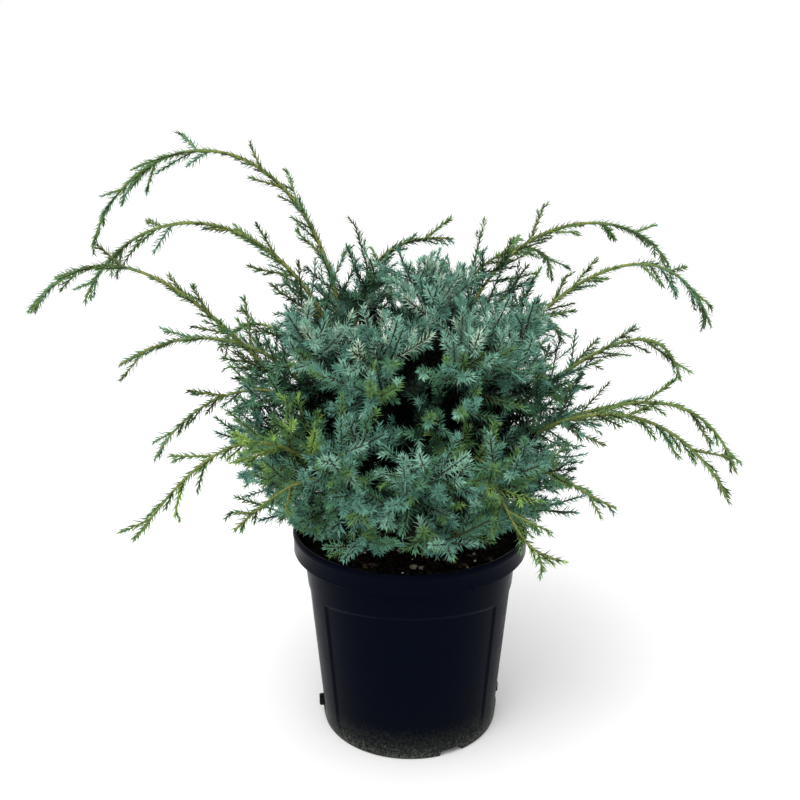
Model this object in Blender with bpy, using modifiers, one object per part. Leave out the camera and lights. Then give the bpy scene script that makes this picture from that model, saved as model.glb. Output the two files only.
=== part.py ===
"""Potted Blue Alps Chinese juniper: ribbed nursery pot, compost, trunk, boughs and masses of needles."""

import math
import random
from collections import namedtuple

import bmesh
import bpy
import numpy as np
from mathutils import Matrix, Vector

# Pot, with z = 0 where it stands and the front of the plant towards -Y
POT_HEIGHT = 0.203
RIM_RADIUS = 0.1125
RIM_SKIRT_RADIUS = 0.1117
RIM_DEPTH = 0.021
RIM_INNER_RADIUS = 0.1082
SKIRT_WALL = 0.0022
WALL_TOP_RADIUS = 0.1023
WALL_FOOT_RADIUS = 0.0863
WALL = 0.0025
FOOT_RING_RADIUS = 0.0775
FLOOR_UNDERSIDE = 0.0065
FLOOR_TOP = 0.0090
PAD_RADIUS = 0.020
POT_STEPS = 32
PANEL_DEPTH = 0.0012
PANEL_FOOT = 0.013
PANEL_TOP = 0.155
PANEL_TOP_DROP = 0.008
PANEL_STEP = 10.0
RIB_TURNS = (-152, -28, 90)
RIB_WIDTH_TURN = 18
NOTCH_TURNS = (-63, 117)
NOTCH_WIDTH = 0.024
NOTCH_HEIGHT = 0.0060
LUG_TURNS = (-172, 8)
LUG_SIZE = (0.007, 0.006, 0.011)
LUG_HEIGHT = 0.017
DRAIN_RADIUS = 0.005
DRAIN_RING = 0.052
DRAIN_COUNT = 6

# Compost
SOIL_TOP = 0.192
SOIL_STEPS = 16
SOIL_RINGS = (0.032, 0.058, 0.084)
SOIL_ROUGHNESS = 0.0022
GAP = 0.0003

# Trunk and boughs
TRUNK_TOP = 0.266
TRUNK_FOOT_RADIUS = 0.0085
TRUNK_TIP_RADIUS = 0.0052
ROOT_FLARE = 0.0055
ROOT_FLARE_HEIGHT = 0.010
TRUNK_LEAN = 0.006
TRUNK_LEAN_TURN = 100
TRUNK_SIDES = 6
TRUNK_RINGS = 7
LOWEST_ROOT = 0.202
HIGHEST_ROOT = 0.261
ROOT_SPACING = 0.0078
ROOT_ROUNDS = 120
ROOT_RISE = (8, 58)
BOUGH_SIDES = 5
BOUGH_RADIUS = (0.0025, 0.0020)
BOUGH_RINGS = 6

# Stems, twigs and needles
STEM_RADIUS = (0.0021, 0.0010)
TWIG_RADIUS = (0.0013, 0.0009)
SHOOT_NEEDLE = (0.0125, 27)
CROWN_NEEDLE = (0.0160, 46)
STEM_PACE = 0.0260
TWIG_PACE = 0.0200
PLAIN_PACE = 0.034
GOLDEN_TURN = 137.5
CLEARANCE = 0.0010
SHOOT_TWIG = (0.062, 0.020)
SHOOT_TWIG_LEAN = (48, 30)
CROWN_TWIG = (0.080, 0.066)
CROWN_TWIG_LEAN = (85, 12)
SHORTEST_TWIG = 0.018
TIP_TWIG = (0.034, 0.018)
TWIG_LIFT = 2.2
TWIG_FOOT = 0.006
CROWN_SPRAY = 0.022

# Bulk of the crown, an upright ellipsoid about this centre
CROWN_HEIGHT = 0.290
CROWN_WIDE = 0.186
CROWN_TALL = 0.192
CROWN_DEEP = 0.100
CORE_REACH = 0.058
CORE_HOLLOW = 0.031
HEART_BEYOND = 0.028
HEART_SHARE = 0.72
HEART_ROUNDS = 14

# A long arching shoot: turn in degrees from +X, foot, pull of each end of the arch, tip
Shoot = namedtuple("Shoot", "name turn heading foot_out foot_up rise rise_pull reach tip_up nod nod_pull sway twigs bough split heart")
SHOOTS = (
    Shoot("left_1", 165, 165, 0.062, 0.356, 87, 0.92, 0.319, 0.457, 70, 0.48, 0.000, 9, True, 0.56, False),
    Shoot("left_2", 176, 176, 0.066, 0.372, 71, 0.63, 0.303, 0.416, 63, 0.49, -0.005, 7, True, 0.58, False),
    Shoot("left_3", 189, 189, 0.088, 0.318, 43, 0.35, 0.331, 0.421, 50, 0.52, -0.008, 7, True, 0.62, False),
    Shoot("left_4", 198, 198, 0.092, 0.335, 61, 0.44, 0.256, 0.380, 33, 0.39, -0.005, 5, False, 0, True),
    Shoot("left_5", 207, 207, 0.096, 0.305, 80, 0.48, 0.240, 0.311, 57, 0.52, 0.006, 4, False, 0, True),
    Shoot("left_6", 222, 222, 0.088, 0.272, 41, 0.48, 0.288, 0.279, 42, 0.56, 0.010, 6, True, 0, True),
    Shoot("left_7", 236, 236, 0.092, 0.262, 45, 0.43, 0.245, 0.288, 14, 0.39, 0.006, 4, False, 0, True),
    Shoot("right_1", 20, 20, 0.048, 0.375, 77, 0.56, 0.275, 0.437, 56, 0.36, 0.005, 7, True, 0.60, False),
    Shoot("right_2", 6, 6, 0.062, 0.330, 61, 0.53, 0.286, 0.390, 66, 0.54, 0.006, 8, True, 0.60, True),
    Shoot("right_3", -6, -6, 0.084, 0.312, 39, 0.45, 0.244, 0.352, 74, 0.53, 0.004, 5, True, 0, True),
    Shoot("right_4", -28, -28, 0.092, 0.290, 42, 0.36, 0.291, 0.291, 55, 0.54, -0.011, 7, True, 0, True),
    Shoot("right_5", -17, -17, 0.092, 0.300, 23, 0.46, 0.291, 0.291, 68, 0.50, -0.009, 6, False, 0, True),
    Shoot("right_6", -40, -40, 0.092, 0.262, 53, 0.52, 0.218, 0.279, 6, 0.36, -0.005, 3, False, 0, True),
    Shoot("right_7", -62, -62, 0.088, 0.285, 50, 0.69, 0.217, 0.254, -16, 0.59, 0.011, 4, False, 0, False),
    Shoot("top_1", 148, -10, 0.056, 0.415, 75, 0.50, 0.034, 0.474, 4, 0.40, 0.000, 3, False, 0, False),
    Shoot("top_2", 34, 34, 0.040, 0.400, 66, 0.48, 0.170, 0.424, 84, 0.45, 0.000, 4, False, 0, False),
    Shoot("back_1", 146, 146, 0.085, 0.315, 52, 0.45, 0.238, 0.345, 52, 0.50, 0.004, 5, False, 0, True),
    Shoot("back_2", 122, 122, 0.088, 0.300, 48, 0.45, 0.268, 0.318, 60, 0.50, -0.006, 6, False, 0, True),
    Shoot("back_3", 97, 97, 0.075, 0.322, 56, 0.50, 0.292, 0.352, 60, 0.52, 0.008, 7, True, 0, False),
    Shoot("back_4", 72, 72, 0.088, 0.290, 45, 0.45, 0.272, 0.286, 58, 0.50, -0.006, 6, False, 0, True),
    Shoot("back_5", 46, 46, 0.085, 0.315, 52, 0.45, 0.246, 0.340, 56, 0.50, 0.005, 5, False, 0, True),
)

# Masses of the crown: turn, reach and height of the tip of each stem
Ring = namedtuple("Ring", "name turns reach height twigs")
CROWN = (
    Ring("low", (-150, -110, -78, -23, 30, 88, 148), 0.156, 0.238, 6),
    Ring("mid", (-166, -112, -86, -58, 60, 120), 0.166, 0.318, 6),
    Ring("high", (-150, -106, -62, -24, 66, 126), 0.112, 0.400, 6),
    Ring("top", (-60,), 0.028, 0.444, 7),
)

UP = np.array((0.0, 0.0, 1.0))


# Paths of the limbs

def unit(vector):
    return vector / np.linalg.norm(vector)


def outward(turn):
    angle = math.radians(turn)
    return np.array((math.cos(angle), math.sin(angle), 0.0))


def aslant(turn, rise):
    angle = math.radians(rise)
    return outward(turn) * math.cos(angle) + UP * math.sin(angle)


def arch(start, start_pull, end, end_pull, count=33):
    """Cubic arch from start to end, pulled by a vector at each end."""
    t = np.linspace(0.0, 1.0, count)[:, None]
    near = start + start_pull
    far = end - end_pull
    return (1 - t) ** 3 * start + 3 * t * (1 - t) ** 2 * near + 3 * t * t * (1 - t) * far + t**3 * end


def stations(path, distances):
    """Points of a path at these distances along it."""
    steps = np.linalg.norm(np.diff(path, axis=0), axis=1)
    along = np.concatenate(([0.0], np.cumsum(steps)))
    return np.stack([np.interp(distances, along, path[:, axis]) for axis in range(3)], axis=1)


def length_of(path):
    return float(np.linalg.norm(np.diff(path, axis=0), axis=1).sum())


def cut(path, start, end, step=0.006):
    count = max(int(round((end - start) / step)), 2)
    return stations(path, np.linspace(start, end, count + 1))


def trunk_centre(height):
    share = (height - SOIL_TOP) / (TRUNK_TOP - SOIL_TOP)
    return outward(TRUNK_LEAN_TURN) * TRUNK_LEAN * share**2 + UP * height


def trunk_radius(height):
    share = (height - SOIL_TOP) / (TRUNK_TOP - SOIL_TOP)
    flare = ROOT_FLARE * math.exp(-(height - SOIL_TOP) / ROOT_FLARE_HEIGHT)
    return TRUNK_FOOT_RADIUS + (TRUNK_TIP_RADIUS - TRUNK_FOOT_RADIUS) * share + flare


def shoot_arch(shoot):
    """The arching part of a shoot, from its foot to its tip."""
    along = outward(shoot.heading)
    across = outward(shoot.heading + 90)
    foot = outward(shoot.turn) * shoot.foot_out + UP * shoot.foot_up
    tip = along * shoot.reach + across * (foot @ across) + UP * shoot.tip_up
    chord = np.linalg.norm(tip - foot)
    rise = aslant(shoot.heading, shoot.rise) * shoot.rise_pull * chord
    nod = aslant(shoot.heading, -shoot.nod) * shoot.nod_pull * chord
    path = arch(foot, rise, tip, nod, 61)
    share = np.linspace(0.0, 1.0, len(path))[:, None]
    return path + across * shoot.sway * share**2


def crown_tips():
    """Name, turn, reach, height and twig count of each mass of the crown."""
    rng = random.Random(11)
    for ring in CROWN:
        for index, turn in enumerate(ring.turns):
            reach = ring.reach * rng.uniform(0.94, 1.04)
            height = ring.height + rng.uniform(-0.010, 0.010)
            yield f"crown_{ring.name}_{index + 1}", turn, reach, height, ring.twigs


def root_places(feet):
    """Turn and height at which each limb leaves the trunk: low limbs low, steep ones high, none crowded."""
    ranked = sorted(feet, key=lambda name: feet[name][1])
    around = np.radians([feet[name][0] for name in ranked])
    heights = np.linspace(LOWEST_ROOT, HIGHEST_ROOT, len(ranked))
    girth = trunk_radius((LOWEST_ROOT + HIGHEST_ROOT) / 2)
    for _ in range(ROOT_ROUNDS):
        for one in range(len(ranked)):
            apart = (around[one] - around + math.pi) % (2 * math.pi) - math.pi
            aside = np.stack((apart * girth, heights[one] - heights), axis=1)
            far = np.linalg.norm(aside, axis=1)
            near = (far < ROOT_SPACING) & (far > 0)
            push = (aside[near] / far[near][:, None] * (ROOT_SPACING - far[near])[:, None]).sum(axis=0)
            around[one] += push[0] / girth / 2
            heights[one] += push[1] / 2
        heights = np.clip(heights, LOWEST_ROOT, HIGHEST_ROOT)
    return {name: (math.degrees(around[rank]), heights[rank], rank / len(ranked)) for rank, name in enumerate(ranked)}


def rooted(place, radius):
    """Where a limb leaves the trunk, a gap clear of its bark, and the way it leaves."""
    turn, height, steepness = place
    rise = ROOT_RISE[0] + (ROOT_RISE[1] - ROOT_RISE[0]) * steepness
    lift = radius * math.sin(math.radians(rise))
    start = trunk_centre(height) + outward(turn) * (trunk_radius(height) + lift + 2 * GAP)
    return start, aslant(turn, rise)


Limb = namedtuple("Limb", "name path radii")
Mass = namedtuple("Mass", "name path radii bare twigs seed crown followed heart")


def plan():
    """Every bough and every mass, as paths with the radii of their ends."""
    feet = {}
    for shoot in SHOOTS:
        feet[shoot.name] = (shoot.turn, math.atan2(shoot.foot_up - 0.23, shoot.foot_out))
    for name, turn, reach, height, twigs in crown_tips():
        feet[name] = (turn, math.atan2(height - 0.23, reach))
    roots = root_places(feet)
    boughs = []
    masses = []
    for number, shoot in enumerate(SHOOTS):
        over = shoot_arch(shoot)
        foot = over[0]
        radius = BOUGH_RADIUS[0] if shoot.bough else STEM_RADIUS[0]
        start, way = rooted(roots[shoot.name], radius)
        span = np.linalg.norm(foot - start)
        inner = arch(start, way * span * 0.35, foot, unit(over[1] - over[0]) * span * 0.35)
        if shoot.bough:
            boughs.append(Limb("bough_" + shoot.name, inner, BOUGH_RADIUS))
            whole = over
            begin = GAP
            bare = 0.02
        else:
            whole = np.concatenate((inner[:-1], over))
            begin = 0.0
            bare = length_of(inner) * 0.8
        end = length_of(whole)
        heart = (bare + HEART_BEYOND) if shoot.heart else 0
        part = end * shoot.split if shoot.split else end
        middle = STEM_RADIUS[0] + (STEM_RADIUS[1] - STEM_RADIUS[0]) * part / end
        masses.append(
            Mass("shoot_" + shoot.name, cut(whole, begin, part), (STEM_RADIUS[0], middle), bare, shoot.twigs, 100 + number, False, bool(shoot.split), heart)
        )
        if shoot.split:
            tip = cut(whole, part + GAP, end)
            masses.append(
                Mass("shoot_" + shoot.name + "_tip", tip, (middle, STEM_RADIUS[1]), 0.006, shoot.twigs // 2, 200 + number, False, False, 0)
            )
    for number, (name, turn, reach, height, twigs) in enumerate(crown_tips()):
        tip = outward(turn) * reach + UP * height
        start, way = rooted(roots[name], STEM_RADIUS[0])
        span = np.linalg.norm(tip - start)
        drop = -18 if "low" in name else 12
        ending = unit(unit(tip - start) + UP * math.sin(math.radians(drop)))
        path = arch(start, way * span * 0.35, tip, ending * span * 0.3)
        masses.append(Mass(name, cut(path, 0.0, length_of(path)), STEM_RADIUS, 0.034, twigs, 300 + number, True, False, length_of(path) * HEART_SHARE))
    return boughs, masses


# Space of a mass

class Room:
    """Space a mass may fill: nearer its own stem than any other, and clear of limbs, rim and compost."""

    def __init__(self, mass, masses, boughs):
        self.own = mass.path
        self.crown = mass.crown
        self.others = np.concatenate([other.path for other in masses if other.name != mass.name])
        heights = np.linspace(SOIL_TOP, TRUNK_TOP, 15)
        limbs = [np.array([trunk_centre(height) for height in heights])]
        girths = [np.array([trunk_radius(height) for height in heights])]
        for bough in boughs:
            points = cut(bough.path, 0.0, length_of(bough.path), 0.003)
            limbs.append(points)
            girths.append(np.full(len(points), bough.radii[0]))
        self.limbs = np.concatenate(limbs)
        self.girths = np.concatenate(girths)

    def slack(self, points):
        """How far each point lies within the space, below zero outside it."""
        own = gaps(points, self.own).min(axis=1)
        others = gaps(points, self.others).min(axis=1)
        limbs = (gaps(points, self.limbs) - self.girths).min(axis=1)
        out = np.hypot(points[:, 0], points[:, 1])
        up = points[:, 2]
        rim = np.maximum(np.maximum(WALL_TOP_RADIUS - out, out - RIM_RADIUS), up - POT_HEIGHT)
        soil = np.maximum(out - WALL_TOP_RADIUS, up - SOIL_TOP - SOIL_ROUGHNESS)
        least = np.minimum.reduce(((others - own) / 2, limbs, rim, soil))
        if self.crown:
            least = np.minimum(least, CROWN_WIDE * (1 - crown_share(points)))
        return least


def gaps(points, sites):
    return np.linalg.norm(points[:, None] - sites[None], axis=2)


def crown_share(points):
    """Zero at the centre of the crown and one on its skin."""
    out = np.hypot(points[:, 0], points[:, 1])
    up = points[:, 2] - CROWN_HEIGHT
    tall = np.where(up > 0, CROWN_TALL, CROWN_DEEP)
    return np.hypot(out / CROWN_WIDE, up / tall)


# Growth

def frame_at(path, along):
    """Point, way of growth and two ways across it, at a distance along a path."""
    near = stations(path, np.array((along, along + 0.002)))
    if along + 0.002 > length_of(path):
        near = stations(path, np.array((along - 0.002, along)))
    growth = unit(near[1] - near[0])
    side = np.cross(UP, growth)
    side = unit(side) if np.linalg.norm(side) > 0.05 else outward(0)
    return stations(path, np.array((along,)))[0], growth, side, np.cross(growth, side)


def twig_paths(mass, room):
    """Twigs set round a stem by the golden turn, each kept to the room of its mass."""
    rng = random.Random(mass.seed)
    total = length_of(mass.path)
    turn = rng.uniform(0, 360)
    longest, shortest = CROWN_TWIG if mass.crown else SHOOT_TWIG
    wide, narrow = CROWN_TWIG_LEAN if mass.crown else SHOOT_TWIG_LEAN
    if mass.name.endswith("_tip"):
        longest, shortest = TIP_TWIG
    longest = min(longest, total * 0.5)
    for number in range(mass.twigs):
        share = (number + 0.5) / mass.twigs
        turn += GOLDEN_TURN + rng.uniform(-20, 20)
        length = (longest + (shortest - longest) * share) * rng.uniform(0.75, 1.10)
        lean = math.radians(wide + (narrow - wide) * share)
        start, growth, side, over = frame_at(mass.path, mass.bare + (total - mass.bare) * share)
        angle = math.radians(turn)
        across = side * math.cos(angle) + over * math.sin(angle)
        way = growth * math.cos(lean) + across * math.sin(lean)
        steps = np.linspace(0.0, length, 9)[:, None]
        path = start + way * steps + (UP * 0.6 + growth * 0.4) * TWIG_LIFT * steps**2
        fits = room.slack(path[1:]) > TWIG_RADIUS[0] + CLEARANCE
        kept = int(np.argmin(fits)) if not fits.all() else len(fits)
        if kept * length / 8 > SHORTEST_TWIG:
            yield path[: kept + 1]


def core_of(mass, room):
    """Centre and corner points of the dark heart of a crown mass, grown out until its room ends."""
    centre = stations(mass.path, np.array((mass.heart,)))[0]
    ball = bmesh.new()
    bmesh.ops.create_icosphere(ball, subdivisions=2, radius=1.0)
    for vert in ball.verts:
        peak = len(vert.link_edges) == 5
        reaches = np.linspace(0.004, CORE_REACH if peak else CORE_HOLLOW, 22)
        ray = centre + np.array(vert.co)[None] * reaches[:, None]
        fits = room.slack(ray) > CLEARANCE * 2.5
        kept = int(np.argmin(fits)) if not fits.all() else len(fits)
        vert.co = Vector(centre) + vert.co * reaches[max(kept - 1, 0)] * 0.92
    for _ in range(HEART_ROUNDS):
        faces = list(ball.faces)
        sides = [[face.verts[side].co for side in range(3)] for face in faces]
        corners = np.array(sides)
        blends = np.array(((1, 1, 1), (2, 1, 0), (0, 2, 1), (1, 0, 2), (1, 2, 0), (0, 1, 2), (2, 0, 1))) / 3
        samples = np.einsum("bc,fcx->fbx", blends, corners)
        fits = room.slack(samples.reshape(-1, 3)).reshape(len(faces), -1).min(axis=1) > CLEARANCE
        if fits.all():
            break
        for vert in {vert for face, fit in zip(faces, fits) if not fit for vert in face.verts}:
            vert.co = Vector(centre) + (vert.co - Vector(centre)) * 0.86
    return centre, ball


# Meshes

def brush(path, radii, pace, bare, room, root=None, blunt=False):
    """Three-sided stem with a needle on every other face, as whorls of three that turn by sixty degrees."""
    total = length_of(path)
    whorls = max(int(round((total - bare) / pace)), 1)
    plain = max(int(round(bare / PLAIN_PACE)), 1) if bare > 0 else 0
    along = np.concatenate((np.linspace(0.0, bare, plain + 1)[:-1], np.linspace(bare, total, whorls + 1)))
    centres = stations(path, along)
    growths = np.gradient(centres, axis=0)
    growths /= np.linalg.norm(growths, axis=1)[:, None]
    girths = np.interp(along, (0.0, total), radii)
    girths[0] = root or girths[0]
    side = np.cross(growths[0], UP + outward(0) * 0.37)
    corners = []
    for ring, (centre, growth, girth) in enumerate(zip(centres, growths, girths)):
        side = unit(side - growth * (side @ growth))
        over = np.cross(growth, side)
        for corner in range(3):
            angle = math.radians(60 * ring + 120 * corner)
            corners.append(centre + (side * math.cos(angle) + over * math.sin(angle)) * girth)
    faces = [(0, 2, 1)]
    needle, lean = CROWN_NEEDLE if room.crown else SHOOT_NEEDLE
    ahead = math.cos(math.radians(lean)) * needle
    aside = math.sin(math.radians(lean)) * needle
    for ring in range(len(centres) - 1):
        for corner in range(3):
            low = 3 * ring + corner
            low_next = 3 * ring + (corner + 1) % 3
            high = 3 * (ring + 1) + corner
            high_next = 3 * (ring + 1) + (corner + 1) % 3
            faces.append((low_next, high_next, high))
            middle = (corners[low] + corners[low_next] + corners[high]) / 3
            away = unit(corners[high] - centres[ring + 1])
            point = middle + growths[ring] * ahead + away * aside
            probe = np.array((point, (point + middle) / 2))
            if ring >= plain and (room.slack(probe) > CLEARANCE).all():
                corners.append(point)
                tip = len(corners) - 1
                faces += [(low, low_next, tip), (low_next, high, tip), (high, low, tip)]
            else:
                faces.append((low, low_next, high))
    last = 3 * (len(centres) - 1)
    if blunt:
        return corners, faces + [(last, last + 1, last + 2)]
    corners.append(centres[-1] + growths[-1] * needle * 0.7)
    faces += [(last + corner, last + (corner + 1) % 3, len(corners) - 1) for corner in range(3)]
    return corners, faces


def mesh_from(corners, faces):
    mesh = bpy.data.meshes.new("brush")
    mesh.from_pydata([tuple(corner) for corner in corners], [], faces)
    mesh.update()
    return mesh


def placed(name, mesh, collection):
    thing = bpy.data.objects.new(name, mesh)
    collection.objects.link(thing)
    return thing


def plain_material(name, colour, roughness):
    material = bpy.data.materials.new(name)
    material.use_nodes = True
    surface = material.node_tree.nodes["Principled BSDF"]
    surface.inputs["Base Color"].default_value = (*colour, 1.0)
    surface.inputs["Roughness"].default_value = roughness
    return material


def baked(thing):
    """The object's mesh with its modifiers applied."""
    bpy.context.view_layer.update()
    graph = bpy.context.evaluated_depsgraph_get()
    mesh = bpy.data.meshes.new_from_object(thing.evaluated_get(graph))
    thing.modifiers.clear()
    thing.data = mesh


def cut_or_join(thing, helpers, operation, solver="EXACT"):
    modifier = thing.modifiers.new(operation.title(), "BOOLEAN")
    modifier.operation = operation
    modifier.solver = solver
    modifier.operand_type = "COLLECTION"
    modifier.collection = helpers
    baked(thing)
    for helper in list(helpers.objects):
        bpy.data.objects.remove(helper)


def keep_largest(thing):
    """Fills sealed hollows and drops loose scraps by keeping the outer skin of the largest piece."""
    shape = bmesh.new()
    shape.from_mesh(thing.data)
    bmesh.ops.triangulate(shape, faces=shape.faces)
    waiting = set(shape.verts)
    pieces = []
    while waiting:
        piece = [waiting.pop()]
        for vert in piece:
            for edge in vert.link_edges:
                other = edge.other_vert(vert)
                if other in waiting:
                    waiting.remove(other)
                    piece.append(other)
        pieces.append(piece)
    pieces.sort(key=len)
    for piece in pieces[:-1]:
        bmesh.ops.delete(shape, geom=piece, context="VERTS")
    shape.to_mesh(thing.data)
    shape.free()


def turned(name, profile, steps, collection, sweep=360.0):
    """Solid of revolution about Z from a profile of (radius, height) points."""
    mesh = bpy.data.meshes.new(name)
    shape = bmesh.new()
    verts = [shape.verts.new((radius, 0.0, height)) for radius, height in profile]
    for one, two in zip(verts, verts[1:]):
        shape.edges.new((one, two))
    shape.to_mesh(mesh)
    shape.free()
    thing = placed(name, mesh, collection)
    screw = thing.modifiers.new("Screw", "SCREW")
    screw.angle = math.radians(sweep)
    screw.steps = steps
    screw.render_steps = steps
    screw.use_merge_vertices = True
    screw.merge_threshold = 0.00005
    screw.use_smooth_shade = True
    baked(thing)
    return thing


def block(name, size, turn, radius, height, collection):
    """Box centred at a turn, radius and height, with its first side along the radius."""
    mesh = bpy.data.meshes.new(name)
    shape = bmesh.new()
    bmesh.ops.create_cube(shape, size=1.0)
    matrix = Matrix.Rotation(math.radians(turn), 4, "Z") @ Matrix.Translation((radius, 0.0, height))
    bmesh.ops.transform(shape, matrix=matrix @ Matrix.Diagonal((*size, 1.0)), verts=shape.verts)
    shape.to_mesh(mesh)
    shape.free()
    return placed(name, mesh, collection)


def wall_radius(height):
    share = height / (POT_HEIGHT - RIM_DEPTH)
    return WALL_FOOT_RADIUS + (WALL_TOP_RADIUS - WALL_FOOT_RADIUS) * share


def pot_profile():
    skirt = POT_HEIGHT - RIM_DEPTH
    skirt_inner = RIM_SKIRT_RADIUS - SKIRT_WALL
    bead = (
        (RIM_INNER_RADIUS, POT_HEIGHT - 0.0022),
        (RIM_INNER_RADIUS + 0.0020, POT_HEIGHT),
        (RIM_RADIUS - 0.0009, POT_HEIGHT - 0.0011),
        (RIM_RADIUS, POT_HEIGHT - 0.0044),
    )
    skirt_part = (
        (RIM_SKIRT_RADIUS, skirt),
        (skirt_inner, skirt),
        (WALL_TOP_RADIUS + 0.0038, POT_HEIGHT - 0.0080),
    )
    wall = (
        (WALL_TOP_RADIUS, skirt),
        (wall_radius(0.0015), 0.0015),
        (WALL_FOOT_RADIUS - 0.0015, 0.0),
        (FOOT_RING_RADIUS, 0.0),
        (FOOT_RING_RADIUS - 0.001, FLOOR_UNDERSIDE),
        (PAD_RADIUS, FLOOR_UNDERSIDE),
        (PAD_RADIUS, 0.0),
        (0.0, 0.0),
    )
    inside = (
        (0.0, FLOOR_TOP),
        (wall_radius(FLOOR_TOP) - WALL, FLOOR_TOP),
        (WALL_TOP_RADIUS - WALL, skirt),
        (WALL_TOP_RADIUS + 0.0012 - WALL, POT_HEIGHT - 0.0065),
        (RIM_INNER_RADIUS, POT_HEIGHT - 0.0022),
    )
    return bead, skirt_part, wall, inside


def panel_cutter(turn, width, collection):
    """Shallow recess in the wall between two ribs, with a top edge that drops towards them."""
    outer = WALL_TOP_RADIUS + 0.004
    profile = (
        (outer, PANEL_TOP),
        (outer, PANEL_FOOT),
        (wall_radius(PANEL_FOOT) - PANEL_DEPTH, PANEL_FOOT),
        (wall_radius(PANEL_TOP) - PANEL_DEPTH, PANEL_TOP),
        (outer, PANEL_TOP),
    )
    panel = turned("panel_cutter", profile, int(width / PANEL_STEP), collection, width)
    shape = bmesh.new()
    shape.from_mesh(panel.data)
    for vert in shape.verts:
        if vert.co.z > (PANEL_TOP + PANEL_FOOT) / 2:
            aside = math.degrees(math.atan2(vert.co.y, vert.co.x)) / width * 2 - 1
            vert.co.z -= PANEL_TOP_DROP * aside**2
    bmesh.ops.holes_fill(shape, edges=[edge for edge in shape.edges if edge.is_boundary], sides=0)
    bmesh.ops.recalc_face_normals(shape, faces=shape.faces)
    bmesh.ops.rotate(shape, matrix=Matrix.Rotation(math.radians(turn), 3, "Z"), verts=shape.verts)
    shape.to_mesh(panel.data)
    shape.free()


def pot(parts, helpers):
    bead, skirt, wall, inside = pot_profile()
    body = turned("pot", bead + skirt + wall + inside, POT_STEPS, parts)
    shape = bmesh.new()
    shape.from_mesh(body.data)
    bmesh.ops.remove_doubles(shape, verts=shape.verts, dist=0.00001)
    bmesh.ops.recalc_face_normals(shape, faces=shape.faces)
    shape.to_mesh(body.data)
    shape.free()
    for turn in LUG_TURNS:
        block("lug", LUG_SIZE, turn, wall_radius(LUG_HEIGHT), LUG_HEIGHT, helpers)
    cut_or_join(body, helpers, "UNION")
    for index, turn in enumerate(RIB_TURNS):
        following = RIB_TURNS[(index + 1) % len(RIB_TURNS)] + (360 if index + 1 == len(RIB_TURNS) else 0)
        width = following - turn - RIB_WIDTH_TURN
        panel_cutter(turn + RIB_WIDTH_TURN / 2, width, helpers)
    for turn in NOTCH_TURNS:
        size = (0.024, NOTCH_WIDTH, NOTCH_HEIGHT * 2)
        block("notch", size, turn, WALL_FOOT_RADIUS - 0.002, 0.0, helpers)
    for index in range(DRAIN_COUNT):
        angle = 2 * math.pi * index / DRAIN_COUNT
        mesh = bpy.data.meshes.new("drain")
        shape = bmesh.new()
        place = Matrix.Translation((DRAIN_RING * math.cos(angle), DRAIN_RING * math.sin(angle), FLOOR_TOP))
        bmesh.ops.create_cone(
            shape, cap_ends=True, segments=8, radius1=DRAIN_RADIUS, radius2=DRAIN_RADIUS, depth=0.02, matrix=place
        )
        shape.to_mesh(mesh)
        shape.free()
        placed("drain", mesh, helpers)
    cut_or_join(body, helpers, "DIFFERENCE")
    body.data.shade_smooth()
    body.data.set_sharp_from_angle(angle=math.radians(30))
    body.data.materials.clear()
    body.data.materials.append(plain_material("pot_plastic", (0.006, 0.010, 0.022), 0.32))


def soil(parts):
    inner = wall_radius(SOIL_TOP) - WALL - 2 * GAP
    profile = [(0.0, SOIL_TOP)]
    profile += [(radius, SOIL_TOP) for radius in SOIL_RINGS]
    profile += [
        (inner, SOIL_TOP - 0.002),
        (wall_radius(FLOOR_TOP) - WALL - 2 * GAP, FLOOR_TOP + GAP),
        (0.0, FLOOR_TOP + GAP),
    ]
    heap = turned("compost", profile, SOIL_STEPS, parts)
    rng = random.Random(5)
    shape = bmesh.new()
    shape.from_mesh(heap.data)
    bmesh.ops.remove_doubles(shape, verts=shape.verts, dist=0.00001)
    for vert in shape.verts:
        out = math.hypot(vert.co.x, vert.co.y)
        if vert.co.z > SOIL_TOP - 0.001 and out > SOIL_RINGS[0] + 0.001:
            vert.co.z += rng.uniform(-1, 1) * SOIL_ROUGHNESS
    bmesh.ops.recalc_face_normals(shape, faces=shape.faces)
    shape.to_mesh(heap.data)
    shape.free()
    heap.data.materials.clear()
    heap.data.materials.append(plain_material("compost_bark", (0.020, 0.014, 0.010), 0.95))


def tube(name, points, radii, sides, collection):
    """Tapering round limb along points, with flat capped ends."""
    curve = bpy.data.curves.new(name, "CURVE")
    curve.dimensions = "3D"
    curve.bevel_depth = 1.0
    curve.bevel_resolution = (sides - 4) // 2
    curve.use_fill_caps = True
    spline = curve.splines.new("POLY")
    spline.points.add(len(points) - 1)
    for target, point, radius in zip(spline.points, points, radii):
        target.co = (*point, 1.0)
        target.radius = radius
    guide = bpy.data.objects.new(name + "_guide", curve)
    collection.objects.link(guide)
    bpy.context.view_layer.update()
    graph = bpy.context.evaluated_depsgraph_get()
    mesh = bpy.data.meshes.new_from_object(guide.evaluated_get(graph))
    thing = placed(name, mesh, collection)
    thing.matrix_world = guide.matrix_world
    bpy.data.objects.remove(guide)
    shape = bmesh.new()
    shape.from_mesh(mesh)
    bmesh.ops.remove_doubles(shape, verts=shape.verts, dist=0.000001)
    bmesh.ops.recalc_face_normals(shape, faces=shape.faces)
    shape.to_mesh(mesh)
    shape.free()
    return thing


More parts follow.
